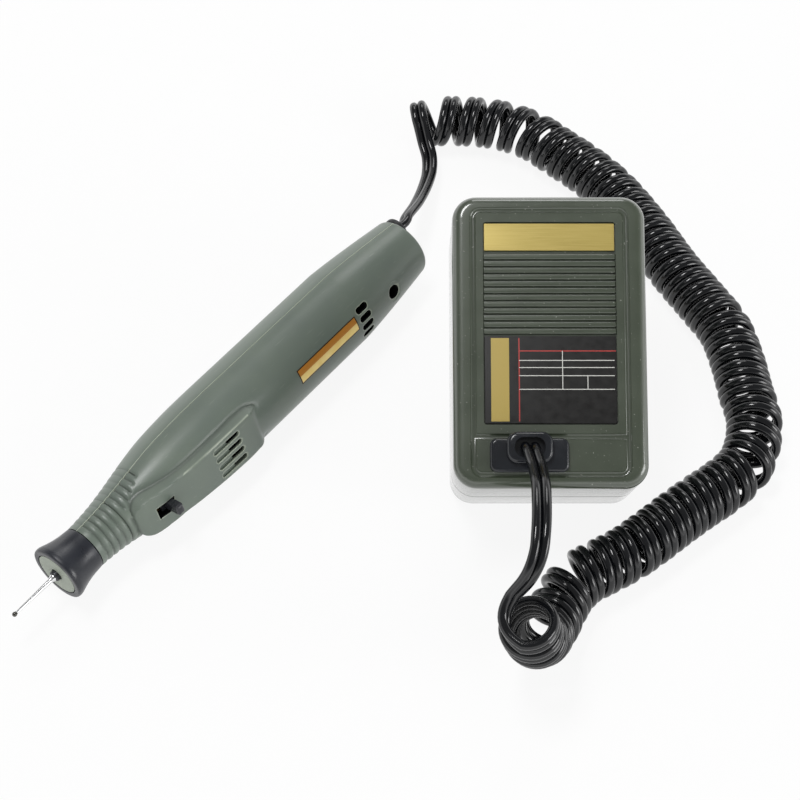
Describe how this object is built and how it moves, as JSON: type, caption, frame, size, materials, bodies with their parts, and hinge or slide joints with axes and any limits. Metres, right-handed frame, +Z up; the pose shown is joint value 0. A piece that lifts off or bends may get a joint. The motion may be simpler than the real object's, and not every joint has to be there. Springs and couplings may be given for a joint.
{
  "type": "electric engraving pen",
  "caption": "Handheld electric engraver with ribbed neck, slide switch and ball-ended bit, joined by a spiral twin flex to a plug-in mains supply.",
  "frame": {"origin": "Middle of the underside of pen and supply as they lie, without the free flex; the surface they lie on is z = 0.", "axes": "+X runs along the pen from its bit to its rear, +Z is up, +Y is to the left of the pen seen from its bit end along +X."},
  "size_m": [0.2585, 0.1832, 0.0766],
  "materials": {
    "pen_plastic": "fine matt texture",
    "nose_plastic": "matt",
    "black_plastic": "satin",
    "supply_plastic": "satin, dusty",
    "cord_plastic": "soft gloss",
    "wire_plastic": "gloss",
    "pale_plastic": "matt",
    "red_plastic": "matt",
    "blue_plastic": "gloss",
    "orange_plastic": "dipped",
    "board_laminate": "laminate",
    "gold_foil": "brushed foil",
    "rating_foil": "printed foil",
    "steel": "ground",
    "dark_steel": "blackened",
    "brass": "turned",
    "copper": "enamelled"
  },
  "bodies": {
    "body": {"switch_side_shell": "pen_plastic", "plain_side_shell": "pen_plastic", "nose_bearing_cap": "nose_plastic", "grip_collar": "black_plastic", "front_bearing_outer_race": "steel", "rear_bearing_outer_race": "steel", "motor_can": "steel", "magnet_upper": "dark_steel", "magnet_lower": "dark_steel", "motor_end_cap": "pale_plastic", "motor_front_bush": "brass", "motor_rear_bush": "brass", "brush_arm_left": "copper", "brush_arm_right": "copper", "suppressor_capacitor": "orange_plastic", "switch_body": "black_plastic", "switch_contact": "brass", "pen_label": "gold_foil", "housing_screw": "steel", "rear_grommet": "black_plastic", "supply_to_motor_wire": "wire_plastic", "supply_to_switch_wire": "wire_plastic", "switch_to_motor_wire": "wire_plastic", "supply_front_cover": "supply_plastic", "supply_rear_shell": "supply_plastic", "supply_screw_lower": "steel", "supply_screw_upper": "steel", "supply_name_plate": "gold_foil", "rating_plate": "rating_foil", "cord_block": "black_plastic", "mains_pin_left": "brass", "mains_pin_right": "brass", "transformer_core": "dark_steel", "coil_former": "pale_plastic", "primary_winding": "copper", "secondary_winding": "copper", "thermal_fuse": "steel", "rectifier_board": "board_laminate", "bridge_rectifier": "black_plastic", "smoothing_capacitor": "blue_plastic", "output_tail": "wire_plastic", "curly_cord": "cord_plastic", "pen_lead": "cord_plastic", "supply_lead": "cord_plastic"},
    "spindle_set": {"spindle": "steel", "collet": "dark_steel", "engraving_bit": "steel", "front_bearing_inner_race": "steel", "rear_bearing_inner_race": "steel", "coupling_sleeve": "red_plastic", "motor_shaft": "steel", "rotor_core": "dark_steel", "rotor_winding_1": "copper", "rotor_winding_2": "copper", "rotor_winding_3": "copper", "commutator": "copper"},
    "front_balls": {"front_bearing_balls": "steel"},
    "rear_balls": {"rear_bearing_balls": "steel"},
    "knob": {"switch_knob": "black_plastic"}
  },
  "joints": [
    {"name": "spindle_spin", "type": "hinge", "parent": "body", "child": "spindle_set", "pos_m": [-0.08676, 0.05428, 0.01356], "axis": [1, 0, 0], "continuous": true},
    {"name": "front_balls_spin", "type": "hinge", "parent": "body", "child": "front_balls", "pos_m": [-0.08196, 0.05428, 0.01356], "axis": [1, 0, 0], "continuous": true},
    {"name": "rear_balls_spin", "type": "hinge", "parent": "body", "child": "rear_balls", "pos_m": [-0.05076, 0.05428, 0.01356], "axis": [1, 0, 0], "continuous": true},
    {"name": "switch_slide", "type": "slide", "parent": "body", "child": "knob", "axis": [-1, 0, 0], "range_m": [0, 0.0032]}
  ],
  "couplings": [
    {"joint": "front_balls_spin", "follows": "spindle_spin", "ratio": 0.4},
    {"joint": "rear_balls_spin", "follows": "spindle_spin", "ratio": 0.4}
  ]
}
